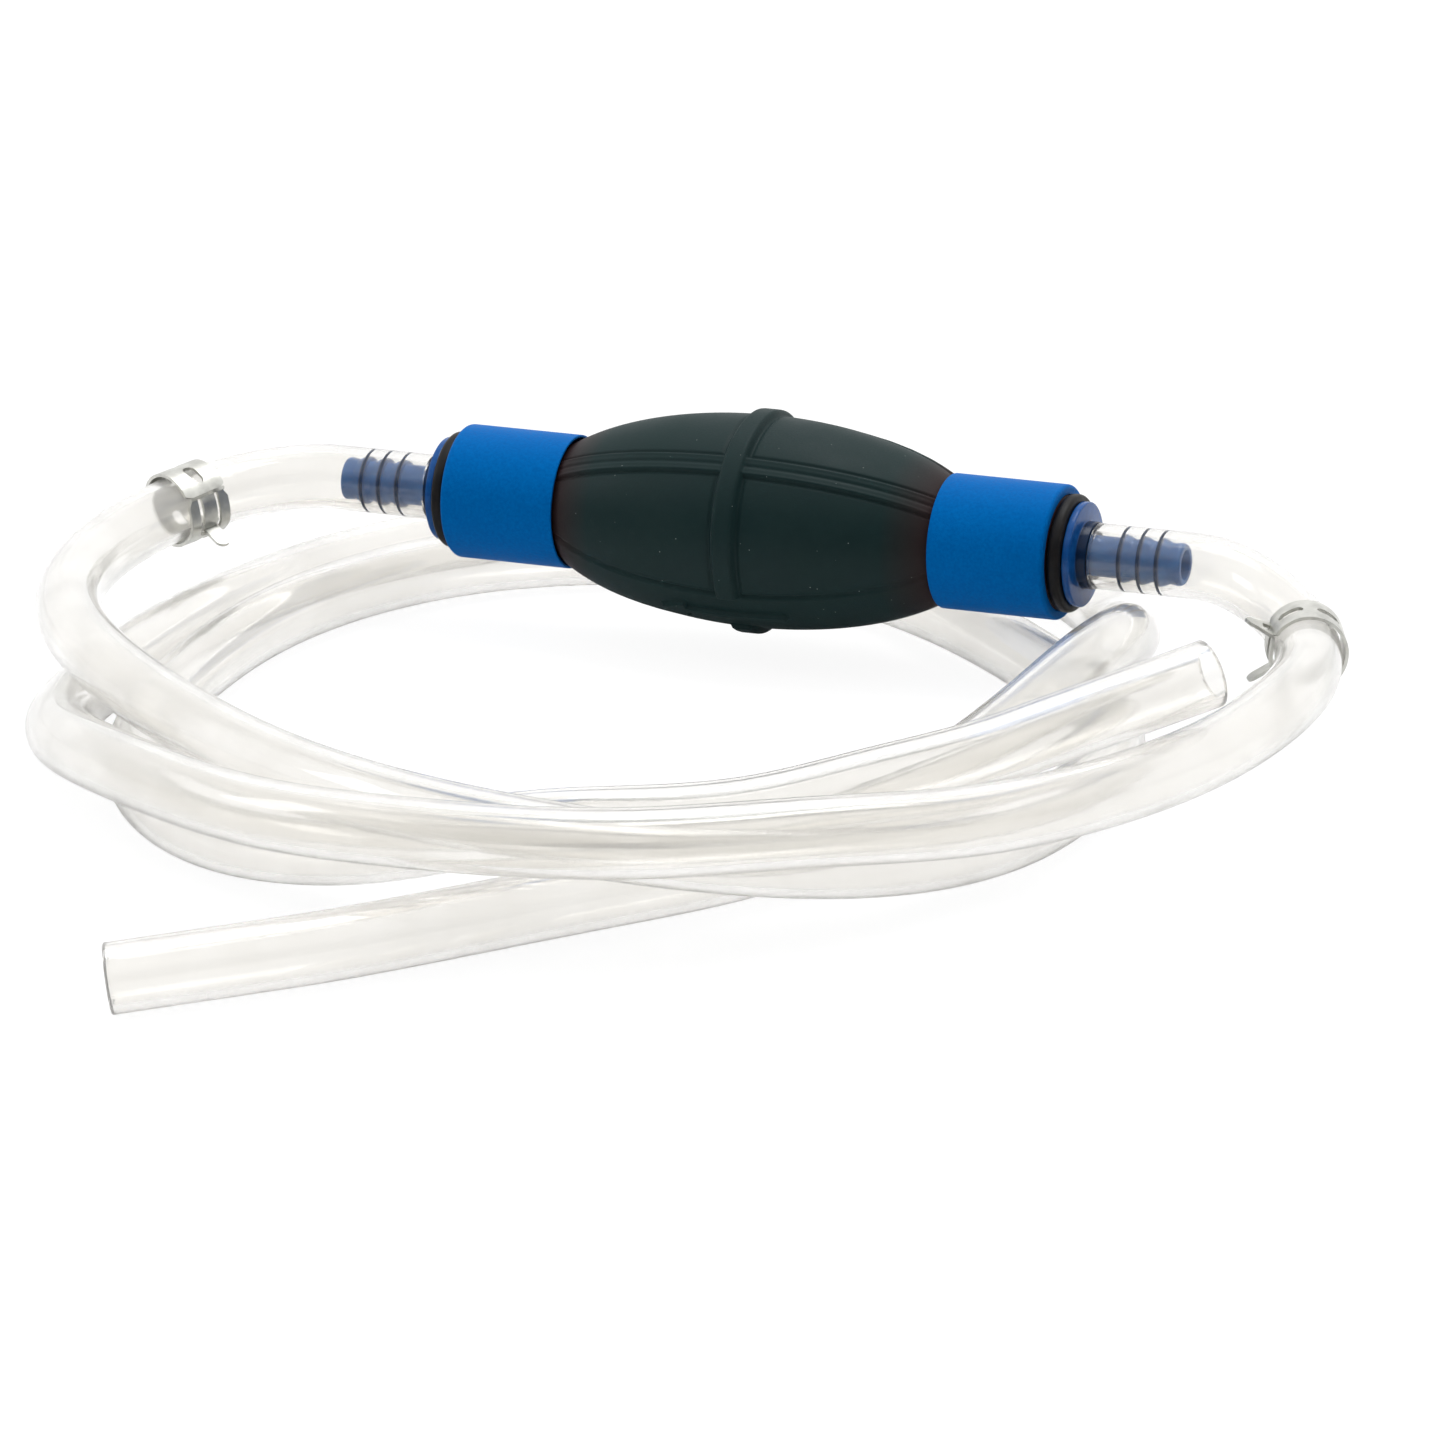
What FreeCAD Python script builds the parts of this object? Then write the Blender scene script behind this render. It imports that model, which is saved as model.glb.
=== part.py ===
import FreeCAD, Part
import math
import os

V = FreeCAD.Vector

# Millimetres, +Z up, floor at Z = 0. The bulb lies along X and water runs towards -X. All pieces are drawn
# with the bulb's middle over the origin, then moved so that the middle of the whole footprint is there.
AXIS_Z = 34.0          # height of the bulb's axis above the floor
BULB_PLACE = V(-6.0, 111.5, 0)

# Squeeze bulb
BULB_HALF_LENGTH = 60.0  # semi-axis of the bulb's outer ellipse along X
BULB_RADIUS = 26.0
BULB_WALL = 2.6
NECK_OUTER_R = 13.9
NECK_BORE_R = 11.05
NECK_END_X = 78.6
RIB_WIDTH = 5.4
RIB_HEIGHT = 1.5
BAND_HEIGHT = 0.55
BANDS = ((45, 4.7), (135, 13.0), (225, 4.7), (315, 13.0))  # degrees from the top towards -Y, width
ARROW_BAND = BANDS[1]    # the rib stops at this one

# Collars that clamp the bulb's necks
COLLAR_IN_X = 49.1
COLLAR_OUT_X = 78.7
COLLAR_R = 16.5
COLLAR_BORE_R = 14.1
COLLAR_MOUTH_R = 16.0
COLLAR_FLARE = 5.0
COLLAR_ROUND = 2.3

# Rubber ring between collar and flange
RING_X = (78.9, 82.2)
RING_R = (11.2, 14.4)

# Barbed fitting with its valve chamber
TUBE_R = 11.0
CHAMBER_R = 8.6
CHAMBER_X = (55.0, 80.0)
FLANGE_X = (82.4, 84.2)
FLANGE_R = 12.8
HUB_R = 8.2
HOSE_START_X = 87.0
STEM_R = 5.0
RIDGE_R = 6.2
RIDGE_X = (94.5, 99.4, 104.1)
RIDGE_RISE = 2.6
BARB_TIP_X = 110.0
BARB_TIP_R = 5.3
BARB_BORE_R = 3.6

# Non-return valve, in its own coordinate: 0 is the chamber's middle, seat side positive
VALVE_X = 67.5
INSERT_R = 8.58
SEAT = (9.5, 12.4)
SEAT_HOLE_R = 4.5
SEAL = (8.5, 9.45)
SEAL_R = 6.2
POPPET_DISC = (7.0, 8.5)
POPPET_R = 6.8
POPPET_STEM_R = 1.5
POPPET_STEM_END = -12.0
CAGE = (-12.4, -9.6)
CAGE_HUB_R = 3.2
CAGE_GUIDE_R = 1.55
CAGE_RIM_R = 7.2
CAGE_SPOKE_WIDTH = 1.8
CAGE_SPOKES = 3
SPRING_TURNS = 6
SPRING_COIL_R = 3.6
SPRING_WIRE_R = 0.4
SPRING_POINTS_PER_TURN = 10
SPRING_GAP = 0.05

# Hoses
HOSE_R = 8.0
HOSE_BORE_R = 6.0
SPLIT_GAP = 0.05       # between a hose and its straight free end

# Way each hose lies, from the barb to the straight free end: left turn, front, right turn, back,
# round once more, and up over the coil
OUTLET_ROUTE = (
    (-112, 0, 34), (-138, -11, 31), (-150, -38, 27), (-147, -76, 26), (-134, -112, 27),
    (-108, -151, 28), (-60, -198, 28), (-5, -236, 29), (38, -247, 28), (79, -232, 22),
    (106, -197, 14), (121, -150, 9), (122, -100, 8), (109, -52, 8), (80, -14, 8),
    (44, 21, 8), (5, 46, 8), (-42, 53, 8), (-86, 29, 8), (-109, -19, 8),
    (-112, -74, 8), (-101, -137, 8), (-78, -188, 8), (-44, -218, 8.5), (-4, -228, 13.5),
    (20, -230, 20), (41, -229, 24.5), (60, -222, 25.5), (80, -208, 26), (101, -186, 29),
    (126, -160, 34),
)
OUTLET_TAIL = (V(40, 39.6, 13), 50.0)
# Right turn, front, left turn, back behind the bulb, under its own start, and out across the floor
INLET_ROUTE = (
    (112, 0, 34), (138, -11, 28.5), (155, -41, 25), (162, -76, 26), (161, -118, 26),
    (151, -165, 27), (130, -208, 29), (106, -233, 31), (68, -258, 31), (24, -264, 30),
    (-19, -253, 27), (-57, -229, 24), (-87, -201, 20), (-111, -166, 14), (-125, -121, 9.5),
    (-130, -75, 8.5), (-128, -30, 8), (-118, 13, 8), (-96, 54, 8), (-65, 86, 8),
    (-22, 98, 8), (18, 90, 8), (53, 63, 9), (80, 28, 11), (95, -2, 16),
    (105, -31, 23.5), (108, -64, 26.5), (104, -106, 21), (94, -147, 14), (76, -187, 9),
    (53, -221, 8), (28, -258, 8), (3, -292, 8),
)
INLET_TAIL = (V(-27, -31, 0), 42.0)

# Spring band clips: nearest point of the route, direction its ears point in, way it faces along the hose
OUTLET_CLIP = (V(-144, -21, 29), V(0.895, -0.442, -0.057), 1)
INLET_CLIP = (V(150, -29, 26), V(-0.9, -0.41, -0.06), -1)
CLIP_R = (8.7, 9.5)
CLIP_WIDTH = 12.0
CLIP_EAR_ANGLE = 35.0
CLIP_EAR_LENGTH = 7.0
CLIP_EAR_WIDTH = (10.0, 4.5)  # of the ear on the rails, at its foot and at its tip
CLIP_TONGUE_WIDTH = 4.0
CLIP_RAIL_WIDTH = 2.8
CLIP_SLOT = (3.0, 40.0)  # slot width, and the angle it runs through
CLIP_SLOT_CENTRES = (68.0, 128.0, 232.0, 292.0)


def turned(outline, centre_x=0.0, side=1):
    """Solid of revolution about the bulb's axis from (distance along the axis, radius) points."""
    points = [V(centre_x + side * x, 0, AXIS_Z + r) for x, r in outline]
    face = Part.Face(Part.makePolygon(points + points[:1]))
    return face.revolve(V(0, 0, AXIS_Z), V(1, 0, 0), 360)


def tube(x0, x1, r_in, r_out, centre_x=0.0, side=1):
    """Ring or tube on the bulb's axis."""
    return turned([(x0, r_in), (x1, r_in), (x1, r_out), (x0, r_out)], centre_x, side)


def disc(x0, x1, r, centre_x=0.0):
    """Solid disc or rod on the bulb's axis."""
    low = centre_x + min(x0, x1)
    return Part.makeCylinder(r, abs(x1 - x0), V(low, 0, AXIS_Z), V(1, 0, 0))


def ellipsoid(half_length, radius):
    """Ellipsoid about the bulb's axis."""
    ellipse = Part.Ellipse(V(half_length, 0, AXIS_Z), V(0, 0, AXIS_Z + radius), V(0, 0, AXIS_Z))
    arc = Part.Arc(ellipse, 0, math.pi).toShape()
    ends = [v.Point for v in arc.Vertexes]
    face = Part.Face(Part.Wire([arc, Part.LineSegment(ends[1], ends[0]).toShape()]))
    return face.revolve(V(0, 0, AXIS_Z), V(1, 0, 0), 360)


def blade(reach, way):
    """Block that stands out from the bulb's axis over one band's width."""
    angle, width = way
    block = Part.makeBox(2 * reach, width, 2 * BULB_RADIUS, V(-reach, -width / 2, AXIS_Z))
    block.rotate(V(0, 0, AXIS_Z), V(1, 0, 0), angle)
    return block


def squeeze_bulb():
    """Hollow rubber bulb with a necked opening at each end, a middle rib and four long bands."""
    body = ellipsoid(BULB_HALF_LENGTH, BULB_RADIUS)
    body = body.fuse(disc(-NECK_END_X, NECK_END_X, NECK_OUTER_R))
    rib_top = BULB_RADIUS + RIB_HEIGHT
    half = RIB_WIDTH / 2
    rib = turned([(-half, BULB_RADIUS - 2), (half, BULB_RADIUS - 2), (half, rib_top - 0.8),
                  (half - 0.8, rib_top), (0.8 - half, rib_top), (-half, rib_top - 0.8)])
    body = body.fuse(rib.cut(blade(half + 1, ARROW_BAND)))
    raised = ellipsoid(BULB_HALF_LENGTH + BAND_HEIGHT, BULB_RADIUS + BAND_HEIGHT)
    reach = COLLAR_IN_X - 1.5
    for way in BANDS:
        body = body.fuse(raised.common(blade(reach, way)))
    hollow = ellipsoid(BULB_HALF_LENGTH - BULB_WALL, BULB_RADIUS - BULB_WALL)
    hollow = hollow.fuse(disc(-NECK_END_X - 1, NECK_END_X + 1, NECK_BORE_R))
    return body.cut(hollow).removeSplitter()


def collar(side):
    """Plastic sleeve that clamps a neck, flared inside at the bulb and rounded at its outer end."""
    flare_end = COLLAR_IN_X + COLLAR_FLARE
    sleeve = turned([(COLLAR_IN_X, COLLAR_MOUTH_R), (COLLAR_IN_X, COLLAR_R), (COLLAR_OUT_X, COLLAR_R),
                     (COLLAR_OUT_X, COLLAR_BORE_R), (flare_end, COLLAR_BORE_R)], side=side)
    rim = [e for e in sleeve.Edges if abs(e.Length - 2 * math.pi * COLLAR_R) < 0.1
           and abs(abs(e.BoundBox.Center.x) - COLLAR_OUT_X) < 0.1]
    return sleeve.makeFillet(COLLAR_ROUND, rim)


def seal_ring(side):
    """Rubber ring with a round outer edge, between the collar and the fitting's flange."""
    x0, x1 = RING_X
    r0, r1 = RING_R
    edge = (x1 - x0) / 2
    block = tube(x0, x1, r0, r1, side=side)
    rims = [e for e in block.Edges if abs(e.Length - 2 * math.pi * r1) < 0.1]
    return block.makeFillet(edge * 0.95, rims)


def barb_fitting(side):
    """Fitting turned in one piece: valve chamber, flange, hub and a hose barb with three ridges."""
    x0, x1 = CHAMBER_X
    outline = [(x0, CHAMBER_R), (x0, TUBE_R), (FLANGE_X[0], TUBE_R), (FLANGE_X[0], FLANGE_R),
               (FLANGE_X[1], FLANGE_R), (FLANGE_X[1], HUB_R), (HOSE_START_X - 0.2, HUB_R),
               (HOSE_START_X - 0.2, STEM_R)]
    for x in RIDGE_X:
        outline += [(x - 0.5, STEM_R), (x - 0.3, RIDGE_R), (x, RIDGE_R), (x + RIDGE_RISE, STEM_R)]
    outline += [(BARB_TIP_X - 0.6, BARB_TIP_R), (BARB_TIP_X, BARB_TIP_R - 0.4),
                (BARB_TIP_X, BARB_BORE_R), (x1, BARB_BORE_R), (x1, CHAMBER_R)]
    return turned(outline, side=side)


def valve_seat(middle):
    """Ring pressed into the chamber, with a bevelled hole that the valve closes."""
    x0, x1 = SEAT
    return turned([(x0, SEAT_HOLE_R + 0.6), (x0 + 0.6, SEAT_HOLE_R), (x1, SEAT_HOLE_R),
                   (x1, INSERT_R), (x0, INSERT_R)], middle)


def valve_seal(middle):
    """Soft disc on the face of the valve."""
    return disc(SEAL[0], SEAL[1], SEAL_R, middle)


def valve_poppet(middle):
    """Valve disc with a thin stem that slides in the cage."""
    head = disc(POPPET_DISC[0], POPPET_DISC[1], POPPET_R, middle)
    return head.fuse(disc(POPPET_STEM_END, POPPET_DISC[0], POPPET_STEM_R, middle)).removeSplitter()


def valve_cage(middle):
    """Spoked insert that guides the stem and holds the spring."""
    x0, x1 = CAGE
    cage = tube(x0, x1, CAGE_RIM_R, INSERT_R, middle)
    cage = cage.fuse(tube(x0, x1, CAGE_GUIDE_R, CAGE_HUB_R, middle))
    length = CAGE_RIM_R - CAGE_HUB_R + 0.8
    for i in range(CAGE_SPOKES):
        spoke = Part.makeBox(x1 - x0, CAGE_SPOKE_WIDTH, length,
                             V(middle + x0, -CAGE_SPOKE_WIDTH / 2, AXIS_Z + CAGE_HUB_R - 0.4))
        spoke.rotate(V(0, 0, AXIS_Z), V(1, 0, 0), 360.0 * i / CAGE_SPOKES)
        cage = cage.fuse(spoke)
    return cage.removeSplitter()


def valve_spring(middle):
    """Compression spring round the stem, from the cage to the back of the valve."""
    x0 = middle + CAGE[1] + SPRING_GAP + SPRING_WIRE_R
    x1 = middle + POPPET_DISC[0] - SPRING_GAP - SPRING_WIRE_R
    count = SPRING_TURNS * SPRING_POINTS_PER_TURN
    points = []
    for i in range(count + 1):
        angle = 2 * math.pi * i / SPRING_POINTS_PER_TURN
        points.append(V(x0 + (x1 - x0) * i / count, SPRING_COIL_R * math.sin(angle),
                        AXIS_Z + SPRING_COIL_R * math.cos(angle)))
    curve = Part.BSplineCurve()
    curve.interpolate(Points=points)
    start = curve.FirstParameter
    return swept(Part.Wire(curve.toShape()), SPRING_WIRE_R, curve.value(start), curve.tangent(start)[0])


def curve_of(route, side, tail):
    """Smooth curve through a route, starting along the bulb's axis and ending along the free end."""
    points = [V(*p) for p in route]
    reached = [0.0]
    for a, b in zip(points, points[1:]):
        reached.append(reached[-1] + (b - a).Length)
    curve = Part.BSplineCurve()
    curve.interpolate(Points=points, Parameters=reached, InitialTangent=V(side, 0, 0),
                      FinalTangent=V(tail).normalize(), Scale=False)
    return curve


def swept(wire, radius, start, direction):
    """Round rod along a wire."""
    circle = Part.Wire(Part.Circle(start, direction, radius).toShape())
    return wire.makePipeShell([circle], True, False)


def hose(curve, side):
    """Coiled hose from the hub of its fitting to the point where it runs straight."""
    start = V(side * HOSE_START_X, 0, AXIS_Z)
    first = curve.value(curve.FirstParameter)
    wire = Part.Wire([Part.LineSegment(start, first).toShape(), curve.toShape()])
    outside = swept(wire, HOSE_R, start, V(side, 0, 0))
    return outside.cut(swept(wire, HOSE_BORE_R, start, V(side, 0, 0)))


def hose_tail(route, tail):
    """Straight free end of a hose."""
    direction = V(tail[0]).normalize()
    start = V(*route[-1]) + direction * SPLIT_GAP
    length = tail[1] - SPLIT_GAP
    outside = Part.makeCylinder(HOSE_R, length, start, direction)
    return outside.cut(Part.makeCylinder(HOSE_BORE_R, length, start, direction))


def band(width, offset, start, sweep, r_in=CLIP_R[0], r_out=CLIP_R[1]):
    """Part of a clip's band about Z: its width, middle height, and the angles it runs through."""
    low = V(0, 0, offset - width / 2)
    block = Part.makeCylinder(r_out, width, low, V(0, 0, 1), sweep)
    block = block.cut(Part.makeCylinder(r_in, width, low, V(0, 0, 1)))
    block.rotate(V(0, 0, 0), V(0, 0, 1), start)
    return block


def ear(foot_width, tip_width, angle):
    """Tab that stands out from the band, with a rounded tip."""
    thick = CLIP_R[1] - CLIP_R[0]
    foot, tip = CLIP_R[0], CLIP_R[0] + CLIP_EAR_LENGTH
    corners = [V(foot, 0, -foot_width / 2), V(tip, 0, -tip_width / 2), V(tip, 0, tip_width / 2),
               V(foot, 0, foot_width / 2)]
    tab = Part.Face(Part.makePolygon(corners + corners[:1])).extrude(V(0, thick, 0))
    rims = [e for e in tab.Edges if e.BoundBox.XMin > tip - 0.01 and e.BoundBox.YLength > thick / 2]
    tab = tab.makeFillet(tip_width * 0.4, rims)
    tab.rotate(V(0, 0, 0), V(0, 0, 1), angle)
    return tab


def band_clip(place, point, ears_to, facing):
    """Spring band clip round a hose: a slotted band whose narrow tongue passes between two rails."""
    a = CLIP_EAR_ANGLE
    clip = band(CLIP_WIDTH, 0, a, 360 - 2 * a)
    for centre in CLIP_SLOT_CENTRES:
        width, run = CLIP_SLOT
        clip = clip.cut(band(width, 0, centre - run / 2, run, CLIP_R[0] - 1, CLIP_R[1] + 1))
    rail_at = (CLIP_WIDTH - CLIP_RAIL_WIDTH) / 2
    for offset in (-rail_at, rail_at):
        clip = clip.fuse(band(CLIP_RAIL_WIDTH, offset, -a - 4, 2 * a))
    clip = clip.fuse(band(CLIP_TONGUE_WIDTH, 0, 8 - a, 2 * a - 4))
    clip = clip.fuse(ear(CLIP_EAR_WIDTH[0], CLIP_EAR_WIDTH[1], a - 6).cut(
        band(CLIP_TONGUE_WIDTH + 0.8, 0, 0, 90, CLIP_R[0] - 1, CLIP_R[1] + 1.2)))
    clip = clip.fuse(ear(CLIP_TONGUE_WIDTH, CLIP_TONGUE_WIDTH, 8 - a))
    along = place.tangent(place.parameter(point))[0] * facing
    centre = place.value(place.parameter(point))
    out = (ears_to - along * ears_to.dot(along)).normalize()
    clip.Placement = FreeCAD.Placement(centre, FreeCAD.Rotation(out, along.cross(out), along, "ZXY"))
    return clip


def save(name, shape):
    """Write one piece as a STEP file."""
    solids = shape.Solids
    whole = (solids[0] if len(solids) == 1 else shape).translated(BULB_PLACE)
    whole.exportStep("parts/" + name + ".step")
    print(name, len(solids), "valid" if whole.isValid() else "NOT VALID", round(whole.Volume, 1))


os.makedirs("parts", exist_ok=True)
save("squeeze_bulb", squeeze_bulb())
for name, side, route, tail, clip in (
        ("inlet", 1, INLET_ROUTE, INLET_TAIL, INLET_CLIP),
        ("outlet", -1, OUTLET_ROUTE, OUTLET_TAIL, OUTLET_CLIP)):
    middle = side * VALVE_X
    curve = curve_of(route, side, tail[0])
    save(name + "_collar", collar(side))
    save(name + "_seal_ring", seal_ring(side))
    save(name + "_barb_fitting", barb_fitting(side))
    save(name + "_valve_seat", valve_seat(middle))
    save(name + "_valve_seal", valve_seal(middle))
    save(name + "_valve_poppet", valve_poppet(middle))
    save(name + "_valve_cage", valve_cage(middle))
    save(name + "_valve_spring", valve_spring(middle))
    save(name + "_hose", hose(curve, side))
    save(name + "_hose_tail", hose_tail(route, tail))
    save(name + "_clip", band_clip(curve, *clip))
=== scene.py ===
import math

import bmesh
import bpy
import numpy as np
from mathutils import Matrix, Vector


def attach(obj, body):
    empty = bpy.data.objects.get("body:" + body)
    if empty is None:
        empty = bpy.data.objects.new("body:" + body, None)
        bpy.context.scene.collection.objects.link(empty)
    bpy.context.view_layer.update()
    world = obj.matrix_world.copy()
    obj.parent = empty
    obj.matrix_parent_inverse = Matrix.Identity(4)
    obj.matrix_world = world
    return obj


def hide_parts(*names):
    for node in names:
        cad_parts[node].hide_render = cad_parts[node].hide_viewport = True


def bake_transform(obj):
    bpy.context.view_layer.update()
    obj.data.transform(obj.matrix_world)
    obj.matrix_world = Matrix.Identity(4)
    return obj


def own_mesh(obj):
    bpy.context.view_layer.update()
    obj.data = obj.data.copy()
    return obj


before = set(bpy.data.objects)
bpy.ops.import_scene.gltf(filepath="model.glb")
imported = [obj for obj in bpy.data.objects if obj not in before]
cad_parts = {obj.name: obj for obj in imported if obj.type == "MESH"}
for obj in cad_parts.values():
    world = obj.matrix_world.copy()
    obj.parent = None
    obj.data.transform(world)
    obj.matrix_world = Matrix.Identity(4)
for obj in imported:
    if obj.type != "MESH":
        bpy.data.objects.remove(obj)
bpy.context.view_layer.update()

MM = 0.001
ROOT = "siphon"
AXIS_Z = 34.0  # height of the bulb's axis, in mm like every length in this script
# Pieces are drawn with the bulb's middle over the origin, then moved to its place in the frame.
BULB_PLACE = np.array((-6.0, 111.5, 0.0))

# ---------------------------------------------------------------- hose routes

OUTLET_ROUTE = (
    (-112, 0, 34), (-138, -11, 31), (-150, -38, 27), (-147, -76, 26), (-134, -112, 27),
    (-108, -151, 28), (-60, -198, 28), (-5, -236, 29), (38, -247, 28), (79, -232, 22),
    (106, -197, 14), (121, -150, 9), (122, -100, 8), (109, -52, 8), (80, -14, 8),
    (44, 21, 8), (5, 46, 8), (-42, 53, 8), (-86, 29, 8), (-109, -19, 8),
    (-112, -74, 8), (-101, -137, 8), (-78, -188, 8), (-44, -218, 8.5), (-4, -228, 13.5),
    (20, -230, 20), (41, -229, 24.5), (60, -222, 25.5), (80, -208, 26), (101, -186, 29),
    (126, -160, 34),
)
INLET_ROUTE = (
    (112, 0, 34), (138, -11, 28.5), (155, -41, 25), (162, -76, 26), (161, -118, 26),
    (151, -165, 27), (130, -208, 29), (106, -233, 31), (68, -258, 31), (24, -264, 30),
    (-19, -253, 27), (-57, -229, 24), (-87, -201, 20), (-111, -166, 14), (-125, -121, 9.5),
    (-130, -75, 8.5), (-128, -30, 8), (-118, 13, 8), (-96, 54, 8), (-65, 86, 8),
    (-22, 98, 8), (18, 90, 8), (53, 63, 9), (80, 28, 11), (95, -2, 16),
    (105, -31, 23.5), (108, -64, 26.5), (104, -106, 21), (94, -147, 14), (76, -187, 9),
    (53, -221, 8), (28, -258, 8), (3, -292, 8),
)
# side of the bulb, route, direction and length of the straight free end
HOSES = {
    "inlet": (1, INLET_ROUTE, (-27, -31, 0), 42.0),
    "outlet": (-1, OUTLET_ROUTE, (40, 39.6, 13), 50.0),
}
HOSE_START_X = 87.0
HOSE_R = 8.0
HOSE_BORE_R = 6.0


def spline(points, first_way, last_way, step):
    """Points every step along the smooth curve through points, with its end directions given."""
    p = np.array(points, float)
    gap = np.linalg.norm(np.diff(p, axis=0), axis=1)
    n = len(p)
    a = np.eye(n)
    b = np.zeros((n, 3))
    b[0] = np.array(first_way, float) / np.linalg.norm(first_way)
    b[-1] = np.array(last_way, float) / np.linalg.norm(last_way)
    for i in range(1, n - 1):
        h0, h1 = gap[i - 1], gap[i]
        a[i, i - 1], a[i, i], a[i, i + 1] = h1, 2 * (h0 + h1), h0
        b[i] = 3 * (h1 * (p[i] - p[i - 1]) / h0 + h0 * (p[i + 1] - p[i]) / h1)
    slope = np.linalg.solve(a, b)
    out = []
    for i in range(n - 1):
        h = gap[i]
        for t in np.linspace(0, 1, max(int(round(h / step)), 2), endpoint=False):
            out.append((2 * t**3 - 3 * t**2 + 1) * p[i] + (t**3 - 2 * t**2 + t) * h * slope[i]
                       + (3 * t**2 - 2 * t**3) * p[i + 1] + (t**3 - t**2) * h * slope[i + 1])
    return np.array(out + [p[-1]])


def straight(a, b, step):
    """Points every step from a up to but not including b."""
    a, b = np.array(a, float), np.array(b, float)
    count = max(int(round(np.linalg.norm(b - a) / step)), 2)
    return a + (b - a) * np.linspace(0, 1, count, endpoint=False)[:, None]


# ---------------------------------------------------------------- mesh helpers


def add_mesh(name, verts_mm, faces, material, body=ROOT, smooth=True):
    """A new piece from points in mm, riding on a body."""
    mesh = bpy.data.meshes.new(name)
    mesh.from_pydata([tuple(v) for v in (np.array(verts_mm) + BULB_PLACE) * MM], [], faces)
    mesh.update()
    shape = bmesh.new()
    shape.from_mesh(mesh)
    bmesh.ops.recalc_face_normals(shape, faces=shape.faces)
    if shape.calc_volume(signed=True) < 0:
        bmesh.ops.reverse_faces(shape, faces=shape.faces)
    shape.to_mesh(mesh)
    shape.free()
    obj = bpy.data.objects.new(name, mesh)
    bpy.context.scene.collection.objects.link(obj)
    obj.data.materials.append(material)
    if smooth:
        mesh.polygons.foreach_set("use_smooth", [True] * len(mesh.polygons))
    if body:
        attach(obj, body)
    return obj


def smooth_by_angle(obj):
    """Smooth shading, with edges over 35 degrees left sharp."""
    obj.data.polygons.foreach_set("use_smooth", [True] * len(obj.data.polygons))
    obj.data.set_sharp_from_angle(angle=math.radians(35))


def ring_faces(rows, cols):
    """Quads of a closed skin made of rows of cols points, joined round both ways."""
    faces = []
    for i in range(rows):
        for j in range(cols):
            after, right = (i + 1) % rows, (j + 1) % cols
            faces.append((i * cols + j, i * cols + right, after * cols + right, after * cols + j))
    return faces


def rounded(outline, radii, steps=5):
    """A closed outline with each corner rounded by its own radius."""
    out = []
    n = len(outline)
    for i in range(n):
        p = np.array(outline[i], float)
        a = np.array(outline[i - 1], float) - p
        b = np.array(outline[(i + 1) % n], float) - p
        la, lb = np.linalg.norm(a), np.linalg.norm(b)
        r = min(radii[i], 0.45 * la, 0.45 * lb)
        if r <= 0:
            out.append(tuple(p))
            continue
        s, e = p + a / la * r, p + b / lb * r
        for t in np.linspace(0, 1, steps + 1):
            out.append(tuple((1 - t) ** 2 * s + 2 * t * (1 - t) * p + t * t * e))
    return out


def lathe(name, outline, side, material, segments=96, body=ROOT):
    """A ring turned about the bulb's axis from a closed outline of (distance along it, radius)."""
    verts = []
    for x, r in outline:
        for k in range(segments):
            a = 2 * math.pi * k / segments
            verts.append((side * x, r * math.cos(a), AXIS_Z + r * math.sin(a)))
    return add_mesh(name, verts, ring_faces(len(outline), segments), material, body)


def frames_along(path):
    """Unit directions along a path, and two unit vectors across it that never spin."""
    way = np.gradient(path, axis=0)
    way /= np.linalg.norm(way, axis=1, keepdims=True)
    across = np.cross((0.0, 0.0, 1.0), way)
    across /= np.linalg.norm(across, axis=1, keepdims=True)
    return way, across, np.cross(way, across)


# ---------------------------------------------------------------- materials


def new_material(name):
    """An empty node material and its Principled shader."""
    mat = bpy.data.materials.new(name)
    mat.use_nodes = True
    nodes = mat.node_tree.nodes
    nodes.clear()
    out = nodes.new("ShaderNodeOutputMaterial")
    shader = nodes.new("ShaderNodeBsdfPrincipled")
    mat.node_tree.links.new(shader.outputs["BSDF"], out.inputs["Surface"])
    return mat, shader


def put(mat, kind, **values):
    """A node with its plain inputs set; a value that is a socket is linked."""
    node = mat.node_tree.nodes.new(kind)
    for key, value in values.items():
        name = key.replace("_", " ")
        if hasattr(node, key) and name not in node.inputs:
            setattr(node, key, value)
        else:
            wire(mat, node.inputs[name], value)
    return node


def wire(mat, socket, value):
    """Set a socket to a plain value, or link it to another socket."""
    if isinstance(value, bpy.types.NodeSocket):
        mat.node_tree.links.new(value, socket)
    else:
        socket.default_value = value


def coordinates(mat, scale=(1, 1, 1)):
    """Position in metres from below the bulb's middle, stretched if asked."""
    coord = put(mat, "ShaderNodeTexCoord")
    mapping = put(mat, "ShaderNodeMapping")
    mapping.inputs["Scale"].default_value = scale
    mapping.inputs["Location"].default_value = [-d * s * MM for d, s in zip(BULB_PLACE, scale)]
    mat.node_tree.links.new(coord.outputs["Object"], mapping.inputs["Vector"])
    return mapping.outputs["Vector"]


def noise(mat, vector, size_mm, detail=3.0, roughness=0.55):
    """Noise whose features are about size_mm across."""
    return put(mat, "ShaderNodeTexNoise", Vector=vector, Scale=1.0 / (size_mm * MM), Detail=detail,
               Roughness=roughness).outputs["Fac"]


def ramp(mat, fac, stops):
    """Colour ramp from (position, colour) stops."""
    node = put(mat, "ShaderNodeValToRGB", Fac=fac)
    band = node.color_ramp
    while len(band.elements) < len(stops):
        band.elements.new(0.5)
    for element, (place, colour) in zip(band.elements, stops):
        element.position = place
        element.color = (*colour, 1)
    return node.outputs["Color"]


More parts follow.
